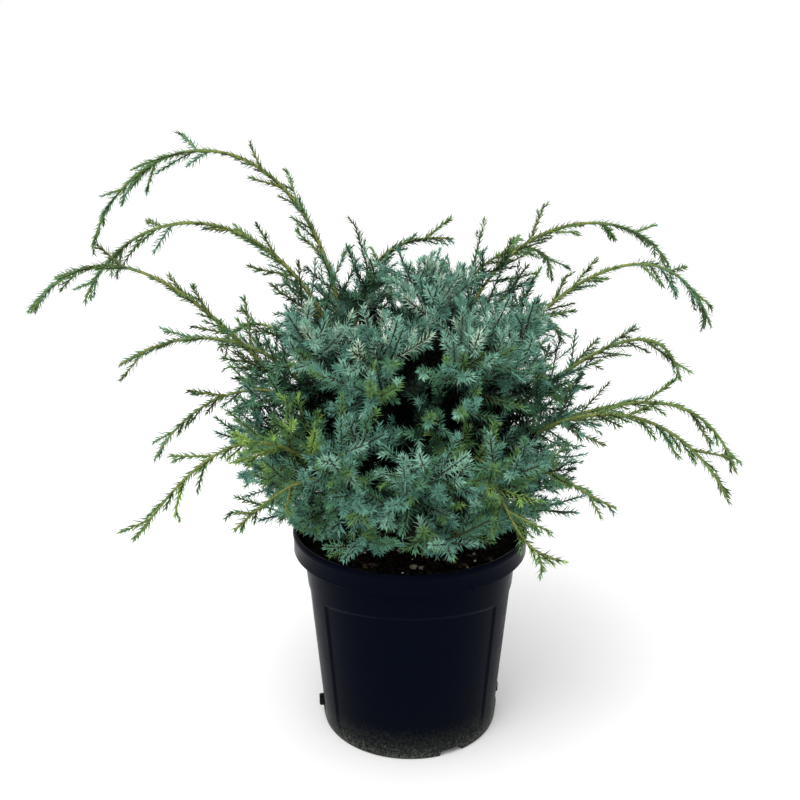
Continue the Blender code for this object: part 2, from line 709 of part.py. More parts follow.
def trunk(parts, bark):
    heights = SOIL_TOP + GAP + (TRUNK_TOP - SOIL_TOP - GAP) * np.linspace(0.0, 1.0, TRUNK_RINGS) ** 1.5
    points = [trunk_centre(height) for height in heights]
    radii = [trunk_radius(height) for height in heights]
    limb = tube("trunk", points, radii, TRUNK_SIDES, parts)
    limb.data.materials.append(bark)


def bough(limb, parts, bark):
    along = np.linspace(0.0, length_of(limb.path), BOUGH_RINGS)
    radii = np.linspace(limb.radii[0], limb.radii[1], BOUGH_RINGS)
    thing = tube(limb.name, stations(limb.path, along), radii, BOUGH_SIDES, parts)
    thing.data.materials.append(bark)


def mass_of_needles(mass, masses, boughs, parts, helpers, leaf):
    room = Room(mass, masses, boughs)
    bare = mass.bare if mass.bare > 0.021 else 0.0
    if mass.crown:
        bare = length_of(mass.path) - CROWN_SPRAY * 1.5
    corners, faces = brush(mass.path, mass.radii, STEM_PACE, bare, room, blunt=mass.followed)
    stem = placed(mass.name, mesh_from(corners, faces), parts)
    if mass.heart:
        centre, ball = core_of(mass, room)
        heart = bpy.data.meshes.new("heart")
        ball.to_mesh(heart)
        ball.free()
        placed("heart", heart, helpers)
    for path in twig_paths(mass, room):
        bare = TWIG_FOOT
        pace = TWIG_PACE
        if mass.crown:
            bare = max(bare, length_of(path) - CROWN_SPRAY)
            pace = length_of(path) - bare
        corners, faces = brush(path, TWIG_RADIUS, pace, bare, room, mass.radii[1] * 0.5)
        placed("twig", mesh_from(corners, faces), helpers)
    cut_or_join(stem, helpers, "UNION", "MANIFOLD")
    keep_largest(stem)
    stem.data.materials.clear()
    stem.data.materials.append(leaf)


def main():
    for thing in list(bpy.data.objects):
        bpy.data.objects.remove(thing)
    parts = bpy.data.collections.new("potted_juniper")
    helpers = bpy.data.collections.new("cutters")
    helpers.hide_render = True
    for collection in (parts, helpers):
        bpy.context.scene.collection.children.link(collection)
    pot(parts, helpers)
    soil(parts)
    bark = plain_material("young_bark", (0.12, 0.085, 0.045), 0.8)
    leaf = plain_material("needles", (0.055, 0.135, 0.125), 0.6)
    trunk(parts, bark)
    boughs, masses = plan()
    for limb in boughs:
        bough(limb, parts, bark)
    for mass in masses:
        mass_of_needles(mass, masses, boughs, parts, helpers, leaf)


main()
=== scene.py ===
"""Looks of the potted Blue Alps Chinese juniper: needles, twigs, bark, pot and compost round the CAD frame."""

import math
import random
from collections import namedtuple

import bmesh
import bpy
import numpy as np
from mathutils import Matrix, Vector, noise


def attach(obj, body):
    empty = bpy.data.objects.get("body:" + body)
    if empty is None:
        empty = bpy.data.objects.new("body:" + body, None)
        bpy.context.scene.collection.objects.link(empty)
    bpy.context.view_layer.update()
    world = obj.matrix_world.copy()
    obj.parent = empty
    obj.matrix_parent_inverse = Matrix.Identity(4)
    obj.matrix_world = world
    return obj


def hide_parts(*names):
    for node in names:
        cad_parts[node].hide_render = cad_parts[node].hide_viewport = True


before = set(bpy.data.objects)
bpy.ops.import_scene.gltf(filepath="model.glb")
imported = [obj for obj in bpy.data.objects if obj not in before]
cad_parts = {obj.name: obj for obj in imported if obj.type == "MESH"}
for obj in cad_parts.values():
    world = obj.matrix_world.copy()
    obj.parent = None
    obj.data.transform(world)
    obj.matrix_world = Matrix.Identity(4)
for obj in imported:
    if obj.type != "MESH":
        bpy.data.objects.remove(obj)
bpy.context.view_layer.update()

# Pot, with z = 0 where it stands and the front of the plant towards -Y
POT_HEIGHT = 0.203
RIM_RADIUS = 0.1125
RIM_SKIRT_RADIUS = 0.1117
RIM_DEPTH = 0.021
RIM_INNER_RADIUS = 0.1082
WALL_TOP_RADIUS = 0.1023
WALL_FOOT_RADIUS = 0.0863
WALL = 0.0025
FOOT_RING_RADIUS = 0.0775
FLOOR_UNDERSIDE = 0.0065
PAD_RADIUS = 0.020
PANEL_DEPTH = 0.0012
PANEL_FOOT = 0.013
PANEL_TOP = 0.155
PANEL_TOP_DROP = 0.008
PANEL_SIDE_SLOPE = 1.6
PANEL_END_SLOPE = 0.0018
RIB_TURNS = (-152, -28, 90)
RIB_WIDTH_TURN = 18
NOTCH_TURNS = (-63, 117)
NOTCH_WIDTH = 0.024
NOTCH_HEIGHT = 0.0060
NOTCH_SLOPE = 0.02
LUG_TURNS = (-172, 8)
LUG_SIZE = (0.007, 0.006, 0.011)
LUG_HEIGHT = 0.017
LUG_BEVEL = 0.0008
POT_STEPS = 360
WALL_RINGS = 150
MERGE_DISTANCE = 0.00002
SHARP_ANGLE = 35
SOIL_TOP = 0.192
SOIL_ROUGHNESS = 0.0022
SOIL_LUMPS = (90.0, 0.0016)
SOIL_GRAINS = (420.0, 0.0007)
SOIL_EDGE_DROP = 0.002
SOIL_SIDE_DROP = 0.03
SOIL_SIDE_TAPER = 0.985
SOIL_RINGS = 60
SOIL_STEPS = 220
GAP = 0.0003

# Bits lying on the compost: how many, half sizes and material
SCATTER_RADIUS = 0.098
CRUMB_SEED = 21
CRUMB_ROUGHNESS = 0.22
CHIP, STONE, GRIT, PEAT = range(4)
BITS = (
    (46, (0.0034, 0.0020, 0.0010), CHIP),
    (14, (0.0030, 0.0022, 0.0016), STONE),
    (40, (0.0010, 0.0008, 0.0007), GRIT),
    (900, (0.0021, 0.0015, 0.0010), PEAT),
)

# Trunk and boughs
TRUNK_TOP = 0.266
TRUNK_FOOT_RADIUS = 0.0085
TRUNK_TIP_RADIUS = 0.0052
ROOT_FLARE = 0.0055
ROOT_FLARE_HEIGHT = 0.010
TRUNK_LEAN = 0.006
TRUNK_LEAN_TURN = 100
TRUNK_RINGS = 60
TRUNK_SIDES = 36
TRUNK_SITES = 15
BARK_RIDGE = 0.10
BARK_GRAIN = (2, 60)
LOWEST_ROOT = 0.202
HIGHEST_ROOT = 0.261
ROOT_SPACING = 0.0078
ROOT_ROUNDS = 120
ROOT_RISE = (8, 58)
RANKING_HEIGHT = 0.23
BOUGH_RADIUS = (0.0025, 0.0020)
BOUGH_SIDES = 12
LIMB_PULL = 0.35
LIMB_STEP = 0.003

# Stems and twigs of the source's rule
STEM_RADIUS = (0.0021, 0.0010)
TWIG_RADIUS = 0.0013
GOLDEN_TURN = 137.5
CLEARANCE = 0.0010
ARCH_POINTS = 33
SHOOT_POINTS = 61
PATH_STEP = 0.006
LOOK_AHEAD = 0.002
SHOOT_SEED = 100
SHOOT_TIP_SEED = 200
CROWN_SEED = 300
RING_SEED = 11
BARE_PAST_BOUGH = 0.02
BARE_SHARE = 0.8
BARE_TIP = 0.006
BARE_CROWN = 0.034
SHOOT_TWIG = (0.062, 0.020)
SHOOT_TWIG_LEAN = (48, 30)
CROWN_TWIG = (0.080, 0.066)
CROWN_TWIG_LEAN = (85, 12)
SHORTEST_TWIG = 0.018
TIP_TWIG = (0.034, 0.018)
TWIG_LIFT = 2.2
TWIG_BEND = (0.6, 0.4)
TWIG_POINTS = 9
MOST_OF_STEM = 0.5
CROWN_HEIGHT = 0.290
CROWN_WIDE = 0.186
CROWN_TALL = 0.192
CROWN_DEEP = 0.100
CROWN_END_PULL = 0.3
CROWN_END_RISE = 12
LOW_END_RISE = -18
REACH_SPREAD = (0.94, 1.04)
HEIGHT_SPREAD = 0.010

# Shoots: turn and heading in degrees; where the arch starts, how steeply it rises and how strongly; where its tip
# is, how steeply it nods and how strongly; sway aside; twigs; whether a bough carries it; where it is split
Shoot = namedtuple(
    "Shoot",
    "name turn heading foot_out foot_up rise rise_pull reach tip_up nod nod_pull sway twigs bough split",
)
SHOOTS = (
    Shoot("left_1", 165, 165, 0.062, 0.356, 87, 0.92, 0.319, 0.457, 70, 0.48, 0.000, 9, True, 0.56),
    Shoot("left_2", 176, 176, 0.066, 0.372, 71, 0.63, 0.303, 0.416, 63, 0.49, -0.005, 7, True, 0.58),
    Shoot("left_3", 189, 189, 0.088, 0.318, 43, 0.35, 0.331, 0.421, 50, 0.52, -0.008, 7, True, 0.62),
    Shoot("left_4", 198, 198, 0.092, 0.335, 61, 0.44, 0.256, 0.380, 33, 0.39, -0.005, 5, False, 0),
    Shoot("left_5", 207, 207, 0.096, 0.305, 80, 0.48, 0.240, 0.311, 57, 0.52, 0.006, 4, False, 0),
    Shoot("left_6", 222, 222, 0.088, 0.272, 41, 0.48, 0.288, 0.279, 42, 0.56, 0.010, 6, True, 0),
    Shoot("left_7", 236, 236, 0.092, 0.262, 45, 0.43, 0.245, 0.288, 14, 0.39, 0.006, 4, False, 0),
    Shoot("right_1", 20, 20, 0.048, 0.375, 77, 0.56, 0.275, 0.437, 56, 0.36, 0.005, 7, True, 0.60),
    Shoot("right_2", 6, 6, 0.062, 0.330, 61, 0.53, 0.286, 0.390, 66, 0.54, 0.006, 8, True, 0.60),
    Shoot("right_3", -6, -6, 0.084, 0.312, 39, 0.45, 0.244, 0.352, 74, 0.53, 0.004, 5, True, 0),
    Shoot("right_4", -28, -28, 0.092, 0.290, 42, 0.36, 0.291, 0.291, 55, 0.54, -0.011, 7, True, 0),
    Shoot("right_5", -17, -17, 0.092, 0.300, 23, 0.46, 0.291, 0.291, 68, 0.50, -0.009, 6, False, 0),
    Shoot("right_6", -40, -40, 0.092, 0.262, 53, 0.52, 0.218, 0.279, 6, 0.36, -0.005, 3, False, 0),
    Shoot("right_7", -62, -62, 0.088, 0.285, 50, 0.69, 0.217, 0.254, -16, 0.59, 0.011, 4, False, 0),
    Shoot("top_1", 148, -10, 0.056, 0.415, 75, 0.50, 0.034, 0.474, 4, 0.40, 0.000, 3, False, 0),
    Shoot("top_2", 34, 34, 0.040, 0.400, 66, 0.48, 0.170, 0.424, 84, 0.45, 0.000, 4, False, 0),
    Shoot("back_1", 146, 146, 0.085, 0.315, 52, 0.45, 0.238, 0.345, 52, 0.50, 0.004, 5, False, 0),
    Shoot("back_2", 122, 122, 0.088, 0.300, 48, 0.45, 0.268, 0.318, 60, 0.50, -0.006, 6, False, 0),
    Shoot("back_3", 97, 97, 0.075, 0.322, 56, 0.50, 0.292, 0.352, 60, 0.52, 0.008, 7, True, 0),
    Shoot("back_4", 72, 72, 0.088, 0.290, 45, 0.45, 0.272, 0.286, 58, 0.50, -0.006, 6, False, 0),
    Shoot("back_5", 46, 46, 0.085, 0.315, 52, 0.45, 0.246, 0.340, 56, 0.50, 0.005, 5, False, 0),
)

Ring = namedtuple("Ring", "name turns reach height twigs")
CROWN = (
    Ring("low", (-150, -110, -78, -23, 30, 88, 148), 0.156, 0.238, 6),
    Ring("mid", (-166, -112, -86, -58, 60, 120), 0.166, 0.318, 6),
    Ring("high", (-150, -106, -62, -24, 66, 126), 0.112, 0.400, 6),
    Ring("top", (-60,), 0.028, 0.444, 7),
)

# Finer growth: spacing, longest at the foot and shortest at the tip, lean from the parent at foot and tip in
# degrees, how strongly it bends up or hangs, and whether it is set in a flat spray under the parent
Growth = namedtuple("Growth", "spacing longest shortest wide narrow lift flat")
CROWN_TWIGS = Growth(0.0140, 0.066, 0.046, 74, 16, 2.2, False)
CROWN_SPRIG = Growth(0.0072, 0.046, 0.022, 58, 22, 4.5, False)
CROWN_SPUR = Growth(0.0130, 0.017, 0.009, 50, 34, 6.0, False)
INNER_SPRIG = Growth(0.0050, 0.055, 0.035, 80, 50, 1.0, False)
SHOOT_SPRIG = Growth(0.0125, 0.046, 0.008, 38, 26, -2.2, True)
TWIG_SPRIG = Growth(0.0110, 0.012, 0.006, 36, 28, -2.0, True)
SIDE_TURNS = (-30, -150)
SIDE_SPREAD = 32
TURN_SPREAD = 25
LEAN_SPREAD = 8
SPACING_SPREAD = (0.8, 1.2)
LENGTH_SPREAD = (0.7, 1.15)
LIGHT_PULL = (0.7, 0.3)
SPRIG_POINTS = 7
FEWEST_POINTS = 4
CROWN_SKIN = 0.90
CROWN_BULK = 0.84
WALL_MARGIN = 0.002
RIM_MARGIN = 0.004
SOIL_MARGIN = 0.006

# Where finer growth starts, as a share of a crown stem or as a distance along a twig, and its radii
TWIGS_FROM = 0.30
SPRIGS_FROM = 0.34
HEART_FROM = 0.12
HEART_EDGE = 0.60
SPRIGS_ALONG = 0.010
SPURS_ALONG = 0.006
TWIG_RADII = (0.0011, 0.0006)
SPRIG_RADII = (0.0008, 0.0005)
SPUR_RADII = (0.0006, 0.0004)
TWIG_SIDES = 4
STEM, TWIG, SPRIG, SPUR, INNER = range(5)
BARK, GREEN_WOOD = range(2)

# Needles: length, width, angle from the twig, distance between whorls of three
Needle = namedtuple("Needle", "length width lean pace")
CROWN_NEEDLE = Needle(0.0088, 0.00145, 52, 0.0019)
SHOOT_NEEDLE = Needle(0.0088, 0.00140, 38, 0.0028)
INNER_NEEDLE = Needle(0.0125, 0.0028, 55, 0.0038)
NEEDLE_SEED = 77
WHORL = 3
WHORL_TURN = 60
NEEDLE_TURN = 120
STEM_PACE = 1.15
FIRST_NEEDLE = 0.001
BESIDE = 0.0015
BARE_STEM_SHARE = 0.62
BARE_TWIG_SHARE = 0.35
NEEDLE_TURN_SPREAD = 0.3
NEEDLE_LEAN_SPREAD = 12
NEEDLE_LENGTH_SPREAD = (0.80, 1.12)
NEEDLE_WIDTH_SPREAD = (0.85, 1.15)
NEEDLE_WIDEST = 0.38
NEEDLE_KEEL = 0.30
NEEDLE_BOW = 0.06
NEEDLE_POINTS = 5
NEEDLE_TRIANGLES = 4
PIECE_TRIANGLES = 190_000

# The last stretch of a twig, where needles close up: what is left at the tip, and what is gained before it
TIP_ZONE = 0.010
TIP_LEAN = (0.45, 0.55)
TIP_SIZE = (0.62, 0.38)

# Camera, lights and floor
CAMERA_PLACE = (-0.0096, -0.8899, 0.5925)
CAMERA_PITCH = 0.29
CAMERA_LENS = 45.0
CAMERA_SENSOR = 36.0
KEY_PLACE = (-0.5, -0.9, 1.9)
KEY_AIM = (0, 0, 0.3)
KEY_POWER = 12.0
KEY_SIZE = 0.8
SUN_POWER = 1.1
SUN_ANGLE = 50
SUN_TILT = (28, -14)
FLOOR_RADIUS = 60.0
FLOOR_WHITE = 0.86

UP = np.array((0.0, 0.0, 1.0))
OFF_UP = np.array((0.37, 0.0, 1.0))
Limb = namedtuple("Limb", "name path radii")
Mass = namedtuple("Mass", "name path radii bare twigs seed crown")


# Paths of the limbs, by the source's rule

def unit(vector):
    return vector / np.linalg.norm(vector)


def outward(turn):
    angle = math.radians(turn)
    return np.array((math.cos(angle), math.sin(angle), 0.0))


def aslant(turn, rise):
    angle = math.radians(rise)
    return outward(turn) * math.cos(angle) + UP * math.sin(angle)


def arch(start, start_pull, end, end_pull, count=ARCH_POINTS):
    """Cubic arch from start to end, pulled by a vector at each end."""
    t = np.linspace(0.0, 1.0, count)[:, None]
    near = start + start_pull
    far = end - end_pull
    return (1 - t) ** 3 * start + 3 * t * (1 - t) ** 2 * near + 3 * t * t * (1 - t) * far + t**3 * end


def stations(path, distances):
    """Points of a path at these distances along it."""
    steps = np.linalg.norm(np.diff(path, axis=0), axis=1)
    along = np.concatenate(([0.0], np.cumsum(steps)))
    return np.stack([np.interp(distances, along, path[:, axis]) for axis in range(3)], axis=1)


def length_of(path):
    return float(np.linalg.norm(np.diff(path, axis=0), axis=1).sum())


def cut(path, start, end, step=PATH_STEP):
    """Part of a path, in even steps."""
    count = max(int(round((end - start) / step)), 2)
    return stations(path, np.linspace(start, end, count + 1))


def trunk_centre(height):
    share = (height - SOIL_TOP) / (TRUNK_TOP - SOIL_TOP)
    return outward(TRUNK_LEAN_TURN) * TRUNK_LEAN * share**2 + UP * height


def trunk_radius(height):
    share = (height - SOIL_TOP) / (TRUNK_TOP - SOIL_TOP)
    flare = ROOT_FLARE * math.exp(-(height - SOIL_TOP) / ROOT_FLARE_HEIGHT)
    return TRUNK_FOOT_RADIUS + (TRUNK_TIP_RADIUS - TRUNK_FOOT_RADIUS) * share + flare


def shoot_arch(shoot):
    """The arching part of a shoot, from its foot to its tip."""
    along = outward(shoot.heading)
    across = outward(shoot.heading + 90)
    foot = outward(shoot.turn) * shoot.foot_out + UP * shoot.foot_up
    tip = along * shoot.reach + across * (foot @ across) + UP * shoot.tip_up
    chord = np.linalg.norm(tip - foot)
    rise = aslant(shoot.heading, shoot.rise) * shoot.rise_pull * chord
    nod = aslant(shoot.heading, -shoot.nod) * shoot.nod_pull * chord
    path = arch(foot, rise, tip, nod, SHOOT_POINTS)
    share = np.linspace(0.0, 1.0, len(path))[:, None]
    return path + across * shoot.sway * share**2


def crown_tips():
    """Name, turn, reach, height and twig count of each mass of the crown."""
    rng = random.Random(RING_SEED)
    for ring in CROWN:
        for index, turn in enumerate(ring.turns):
            reach = ring.reach * rng.uniform(*REACH_SPREAD)
            height = ring.height + rng.uniform(-HEIGHT_SPREAD, HEIGHT_SPREAD)
            yield f"crown_{ring.name}_{index + 1}", turn, reach, height, ring.twigs


def root_places(feet):
    """Turn and height at which each limb leaves the trunk: low limbs low, steep ones high, none crowded."""
    ranked = sorted(feet, key=lambda name: feet[name][1])
    around = np.radians([feet[name][0] for name in ranked])
    heights = np.linspace(LOWEST_ROOT, HIGHEST_ROOT, len(ranked))
    girth = trunk_radius((LOWEST_ROOT + HIGHEST_ROOT) / 2)
    for _ in range(ROOT_ROUNDS):
        for one in range(len(ranked)):
            apart = (around[one] - around + math.pi) % (2 * math.pi) - math.pi
            aside = np.stack((apart * girth, heights[one] - heights), axis=1)
            far = np.linalg.norm(aside, axis=1)
            near = (far < ROOT_SPACING) & (far > 0)
            push = (aside[near] / far[near][:, None] * (ROOT_SPACING - far[near])[:, None]).sum(axis=0)
            around[one] += push[0] / girth / 2
            heights[one] += push[1] / 2
        heights = np.clip(heights, LOWEST_ROOT, HIGHEST_ROOT)
    return {
        name: (math.degrees(around[rank]), heights[rank], rank / len(ranked))
        for rank, name in enumerate(ranked)
    }


def rooted(place, radius):
    """Where a limb leaves the trunk, and the way it leaves."""
    turn, height, steepness = place
    rise = ROOT_RISE[0] + (ROOT_RISE[1] - ROOT_RISE[0]) * steepness
    lift = radius * math.sin(math.radians(rise))
    start = trunk_centre(height) + outward(turn) * (trunk_radius(height) + lift + 2 * GAP)
    return start, aslant(turn, rise)


def plan():
    """Every bough and every mass, as paths with the radii of their ends."""
    feet = {}
    for shoot in SHOOTS:
        feet[shoot.name] = (shoot.turn, math.atan2(shoot.foot_up - RANKING_HEIGHT, shoot.foot_out))
    for name, turn, reach, height, _ in crown_tips():
        feet[name] = (turn, math.atan2(height - RANKING_HEIGHT, reach))
    roots = root_places(feet)
    boughs = []
    masses = []
    for number, shoot in enumerate(SHOOTS):
        name = "shoot_" + shoot.name
        over = shoot_arch(shoot)
        foot = over[0]
        radius = BOUGH_RADIUS[0] if shoot.bough else STEM_RADIUS[0]
        start, way = rooted(roots[shoot.name], radius)
        span = np.linalg.norm(foot - start)
        inner = arch(start, way * span * LIMB_PULL, foot, unit(over[1] - over[0]) * span * LIMB_PULL)
        if shoot.bough:
            boughs.append(Limb("bough_" + shoot.name, inner, BOUGH_RADIUS))
            whole = over
            begin = GAP
            bare = BARE_PAST_BOUGH
        else:
            whole = np.concatenate((inner[:-1], over))
            begin = 0.0
            bare = length_of(inner) * BARE_SHARE
        end = length_of(whole)
        part = end * shoot.split if shoot.split else end
        middle = STEM_RADIUS[0] + (STEM_RADIUS[1] - STEM_RADIUS[0]) * part / end
        radii = (STEM_RADIUS[0], middle)
        masses.append(Mass(name, cut(whole, begin, part), radii, bare, shoot.twigs, SHOOT_SEED + number, False))
        if shoot.split:
            tip = cut(whole, part + GAP, end)
            radii = (middle, STEM_RADIUS[1])
            seed = SHOOT_TIP_SEED + number
            masses.append(Mass(name + "_tip", tip, radii, BARE_TIP, shoot.twigs // 2, seed, False))
    for number, (name, turn, reach, height, twigs) in enumerate(crown_tips()):
        tip = outward(turn) * reach + UP * height
        start, way = rooted(roots[name], STEM_RADIUS[0])
        span = np.linalg.norm(tip - start)
        rise = LOW_END_RISE if "low" in name else CROWN_END_RISE
        ending = unit(unit(tip - start) + UP * math.sin(math.radians(rise)))
        path = arch(start, way * span * LIMB_PULL, tip, ending * span * CROWN_END_PULL)
        stem = cut(path, 0.0, length_of(path))
        masses.append(Mass(name, stem, STEM_RADIUS, BARE_CROWN, twigs, CROWN_SEED + number, True))
    return boughs, masses


class Room:
    """Space a mass may fill: nearer its own stem than any other, and clear of limbs, rim and compost."""

    def __init__(self, mass, masses, boughs):
        self.own = mass.path
        self.crown = mass.crown
        self.others = np.concatenate([other.path for other in masses if other.name != mass.name])
        heights = np.linspace(SOIL_TOP, TRUNK_TOP, TRUNK_SITES)
        limbs = [np.array([trunk_centre(height) for height in heights])]
        girths = [np.array([trunk_radius(height) for height in heights])]
        for bough in boughs:
            points = cut(bough.path, 0.0, length_of(bough.path), LIMB_STEP)
            limbs.append(points)
            girths.append(np.full(len(points), bough.radii[0]))
        self.limbs = np.concatenate(limbs)
        self.girths = np.concatenate(girths)

    def slack(self, points):
        """How far each point lies within the space, below zero outside it."""
        own = gaps(points, self.own).min(axis=1)
        others = gaps(points, self.others).min(axis=1)
        limbs = (gaps(points, self.limbs) - self.girths).min(axis=1)
        out = np.hypot(points[:, 0], points[:, 1])
        up = points[:, 2]
        rim = np.maximum(np.maximum(WALL_TOP_RADIUS - out, out - RIM_RADIUS), up - POT_HEIGHT)
        soil = np.maximum(out - WALL_TOP_RADIUS, up - SOIL_TOP - SOIL_ROUGHNESS)
        least = np.minimum.reduce(((others - own) / 2, limbs, rim, soil))
        if self.crown:
            least = np.minimum(least, CROWN_WIDE * (1 - crown_share(points)))
        return least


def gaps(points, sites):
    """Distance of every point from every site."""
    return np.linalg.norm(points[:, None] - sites[None], axis=2)


def crown_share(points):
    """Zero at the centre of the crown and one on its skin."""
    out = np.hypot(points[:, 0], points[:, 1])
    up = points[:, 2] - CROWN_HEIGHT
    tall = np.where(up > 0, CROWN_TALL, CROWN_DEEP)
    return np.hypot(out / CROWN_WIDE, up / tall)


def frame_at(path, along):
    """Point, way of growth and two ways across it, at a distance along a path."""
    near = stations(path, np.array((along, along + LOOK_AHEAD)))
    if along + LOOK_AHEAD > length_of(path):
        near = stations(path, np.array((along - LOOK_AHEAD, along)))
    growth = unit(near[1] - near[0])
    side = np.cross(UP, growth)
    side = unit(side) if np.linalg.norm(side) > 0.05 else outward(0)
    return stations(path, np.array((along,)))[0], growth, side, np.cross(growth, side)


def twig_paths(mass, room):
    """Twigs set round a stem by the golden turn, each kept to the room of its mass."""
    rng = random.Random(mass.seed)
    total = length_of(mass.path)
    turn = rng.uniform(0, 360)
    longest, shortest = CROWN_TWIG if mass.crown else SHOOT_TWIG
    wide, narrow = CROWN_TWIG_LEAN if mass.crown else SHOOT_TWIG_LEAN
    if mass.name.endswith("_tip"):
        longest, shortest = TIP_TWIG
    longest = min(longest, total * MOST_OF_STEM)
    for number in range(mass.twigs):
        share = (number + 0.5) / mass.twigs
        turn += GOLDEN_TURN + rng.uniform(-20, 20)
        length = (longest + (shortest - longest) * share) * rng.uniform(0.75, 1.10)
        lean = math.radians(wide + (narrow - wide) * share)
        start, growth, side, over = frame_at(mass.path, mass.bare + (total - mass.bare) * share)
        angle = math.radians(turn)
        across = side * math.cos(angle) + over * math.sin(angle)
        way = growth * math.cos(lean) + across * math.sin(lean)
        steps = np.linspace(0.0, length, TWIG_POINTS)[:, None]
        bend = UP * TWIG_BEND[0] + growth * TWIG_BEND[1]
        path = start + way * steps + bend * TWIG_LIFT * steps**2
        fits = room.slack(path[1:]) > TWIG_RADIUS + CLEARANCE
        kept = int(np.argmin(fits)) if not fits.all() else len(fits)
        if kept * length / (TWIG_POINTS - 1) > SHORTEST_TWIG:
            yield path[: kept + 1]


# Finer growth on the limbs of the rule

def clear(points, crown):
    """Whether points stay off the rim and the compost and, in the crown, within its skin."""
    out = np.hypot(points[:, 0], points[:, 1])
    up = points[:, 2]
    rim = np.maximum(np.maximum(WALL_TOP_RADIUS - WALL_MARGIN - out, out - RIM_RADIUS), up - POT_HEIGHT) > RIM_MARGIN
    soil = np.maximum(out - WALL_TOP_RADIUS, up - SOIL_TOP) > SOIL_MARGIN
    inside = crown_share(points) < CROWN_SKIN if crown else np.ones(len(points), bool)
    return rim & soil & inside


def within(point):
    """Whether a point lies in the bulk of the crown."""
    return crown_share(point[None])[0] < CROWN_BULK


def sprigs(parent, begin, outer_rule, rng, crown):
    """Finer twigs set round a parent by the golden turn, bending up to the light, longer in the crown's bulk."""
    total = length_of(parent)
    turn = rng.uniform(0, 360)
    steps = np.linspace(0.0, 1.0, SPRIG_POINTS)[:, None]
    along = begin
    while True:
        place = stations(parent, np.array((along,)))[0]
        rule = CROWN_SPRIG if within(place) and outer_rule in (SHOOT_SPRIG, TWIG_SPRIG) else outer_rule
        along += rule.spacing * rng.uniform(*SPACING_SPREAD)
        if along >= total:
            return
        share = (along - begin) / (total - begin)
        turn += GOLDEN_TURN + rng.uniform(-TURN_SPREAD, TURN_SPREAD)
        start, growth, side, over = frame_at(parent, along)
        length = rule.longest + (rule.shortest - rule.longest) * share
        length *= rng.uniform(*LENGTH_SPREAD)
        lean = rule.wide + (rule.narrow - rule.wide) * share + rng.uniform(-LEAN_SPREAD, LEAN_SPREAD)
        lean = math.radians(lean)
        angle = math.radians(turn)
        if rule.flat:
            angle = math.radians(SIDE_TURNS[rng.random() < 0.5] + rng.uniform(-SIDE_SPREAD, SIDE_SPREAD))
        across = side * math.cos(angle) + over * math.sin(angle)
        way = growth * math.cos(lean) + across * math.sin(lean)
        light = UP * LIGHT_PULL[0] + outward(math.degrees(math.atan2(start[1], start[0]))) * LIGHT_PULL[1]
        reach = steps * length
        path = start + way * reach + light * rule.lift * reach**2
        fits = clear(path, crown)
        kept = int(np.argmin(fits)) if not fits.all() else len(fits)
        if kept >= FEWEST_POINTS:
            yield path[:kept]


Strand = namedtuple("Strand", "path radii level mass")


def grown(mass, room):
    """All stems and twigs of a mass, coarse to fine."""
    rng = random.Random(mass.seed * 7 + 3)
    total = length_of(mass.path)
    strands = [Strand(mass.path, mass.radii, STEM, mass)]
    twigs = list(twig_paths(mass, room))
    if mass.crown:
        twigs += list(sprigs(mass.path, total * TWIGS_FROM, CROWN_TWIGS, rng, True))
    strands += [Strand(path, TWIG_RADII, TWIG, mass) for path in twigs]
    begin = total * SPRIGS_FROM if mass.crown else mass.bare
    fine = list(sprigs(mass.path, begin, SHOOT_SPRIG, rng, mass.crown))
    for path in twigs:
        fine += list(sprigs(path, SPRIGS_ALONG, TWIG_SPRIG, rng, mass.crown))
    strands += [Strand(path, SPRIG_RADII, SPRIG, mass) for path in fine]
    # Heart sprigs fill the inside of the crown; their needles mostly take the deep colour, which is painted shade
    for path in sprigs(mass.path, total * HEART_FROM, INNER_SPRIG, rng, True):
        if crown_share(path[:1])[0] < HEART_EDGE:
            strands.append(Strand(path, SPRIG_RADII, INNER, mass))
    for parent in fine:
        if within(parent[0]):
            spurs = sprigs(parent, SPURS_ALONG, CROWN_SPUR, rng, mass.crown)
            strands += [Strand(path, SPUR_RADII, SPUR, mass) for path in spurs]
    return strands


# Needles

# The deep and dark colours are painted shade, dealt to needles by how deep inside the crown or a shoot they lie; the
# rest are the needles' own colours
COLOURS = {
    "deep": (0.002, 0.005, 0.003),
    "dark": (0.020, 0.055, 0.034),
    "green": (0.095, 0.230, 0.130),
    "blue": (0.120, 0.280, 0.215),
    "mist": (0.230, 0.430, 0.330),
    "pale": (0.430, 0.580, 0.450),
    "lime": (0.260, 0.430, 0.110),
    "young": (0.120, 0.240, 0.080),
    "olive": (0.060, 0.110, 0.034),
}
NAMES = list(COLOURS)

# Colours that a spray may take, by how deep its tip lies: zero at the centre of the crown, one on its skin
SKIN_SHADES = ("blue", "blue", "green", "mist", "young")
TOP_SHADES = ("blue", "mist", "mist", "pale", "blue")
TOP_HEIGHT = 0.40
# The darker colours dealt to deeper sprays are painted shade for the inside of the crown and the shoots
CROWN_SHADES = (
    (0.55, ("deep", "deep", "dark")),
    (0.75, ("dark", "green", "blue")),
    (math.inf, SKIN_SHADES),
)
SHOOT_SHADES = (
    (0.60, ("deep", "dark")),
    (1.0, ("green", "blue", "dark", "green")),
    (math.inf, ("green", "young", "olive", "young", "olive")),
)
YOUNG_SHADES = ("lime", "young", "young")
YOUNG_SHOOTS = ("shoot_right_7", "shoot_left_6")
# How deep in the crown needles are coloured deep as painted shade, for all needles and for heart needles
PAINTED_SHADE_EDGE = 0.58
INNER_PAINTED_SHADE_EDGE = 0.78


